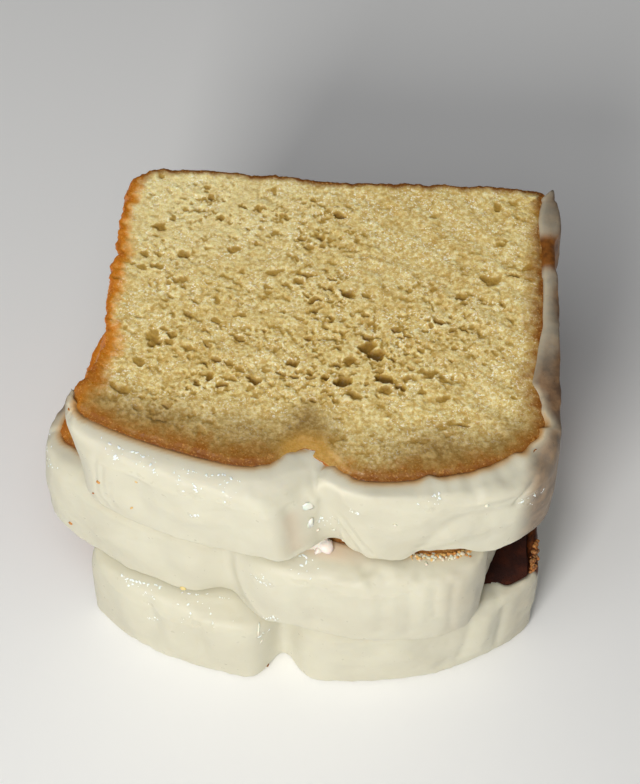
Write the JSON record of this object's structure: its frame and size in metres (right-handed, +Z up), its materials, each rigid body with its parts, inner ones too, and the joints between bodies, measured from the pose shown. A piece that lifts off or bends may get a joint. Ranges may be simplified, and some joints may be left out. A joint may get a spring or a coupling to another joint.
{
  "type": "sliced iced pound cake loaf",
  "caption": "Loaf-shaped pound cake cut in thick slices that lie face on face, a golden crumb with browned crust under a thick white icing.",
  "frame": {"origin": "under the middle of the stack of slices, on the surface that it rests on", "axes": "+Z up, along the loaf's length; +X across the loaf's width; -Y towards the iced crown and +Y towards the loaf's base"},
  "size_m": [0.1218, 0.1074, 0.0786],
  "materials": {
    "crumb": "matt golden crumb, browned where it met the tin",
    "icing": "smooth set sugar icing with a soft gloss"
  },
  "bodies": {
    "root": {"bottom_slice_cake": "crumb", "bottom_slice_icing": "icing", "middle_slice_cake": "crumb", "middle_slice_icing": "icing", "top_slice_cake": "crumb", "top_slice_icing": "icing"}
  },
  "joints": []
}
